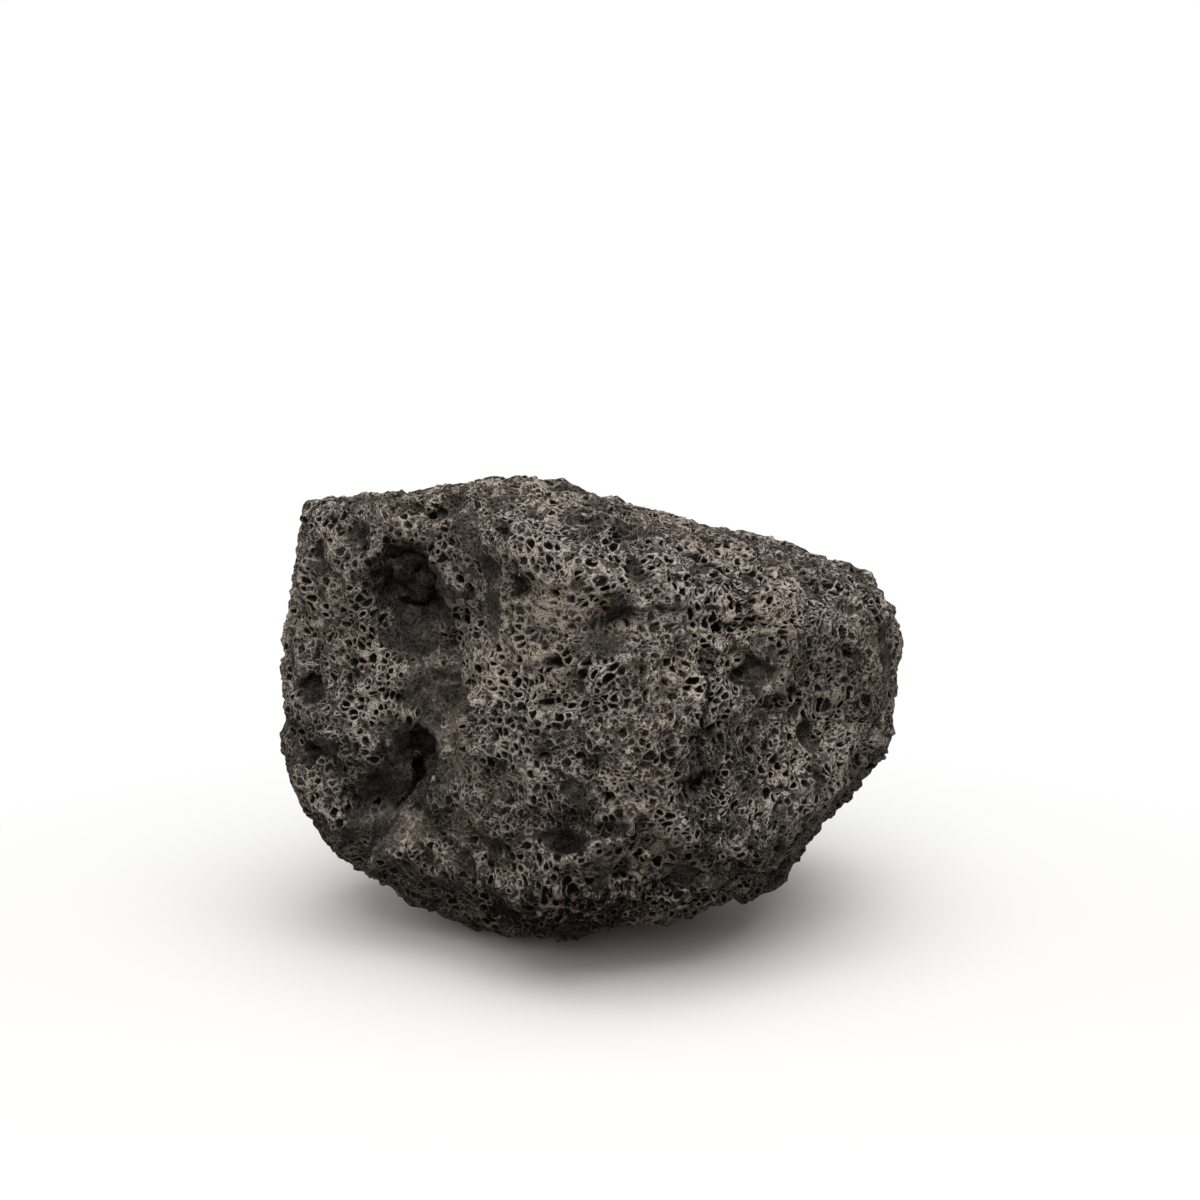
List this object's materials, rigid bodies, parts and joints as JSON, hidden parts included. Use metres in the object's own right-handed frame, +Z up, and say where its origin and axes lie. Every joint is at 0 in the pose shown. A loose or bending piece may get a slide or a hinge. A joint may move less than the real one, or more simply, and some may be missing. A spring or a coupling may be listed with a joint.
{
  "type": "iron meteorite",
  "caption": "Fist-sized natural lump of dark pitted iron with a blunt nose, a worn trough and thumb-print hollows, standing on a small flat foot.",
  "frame": {"origin": "on the ground under the middle of the lump's box", "axes": "+Z up, +X along the lump's length, the nose towards -Y"},
  "size_m": [0.0966, 0.0804, 0.0711],
  "materials": {
    "meteoritic_iron": "rough, finely pitted, dull, brownish grey with near-black pits"
  },
  "bodies": {
    "root": {"meteorite": "meteoritic_iron"}
  },
  "joints": []
}
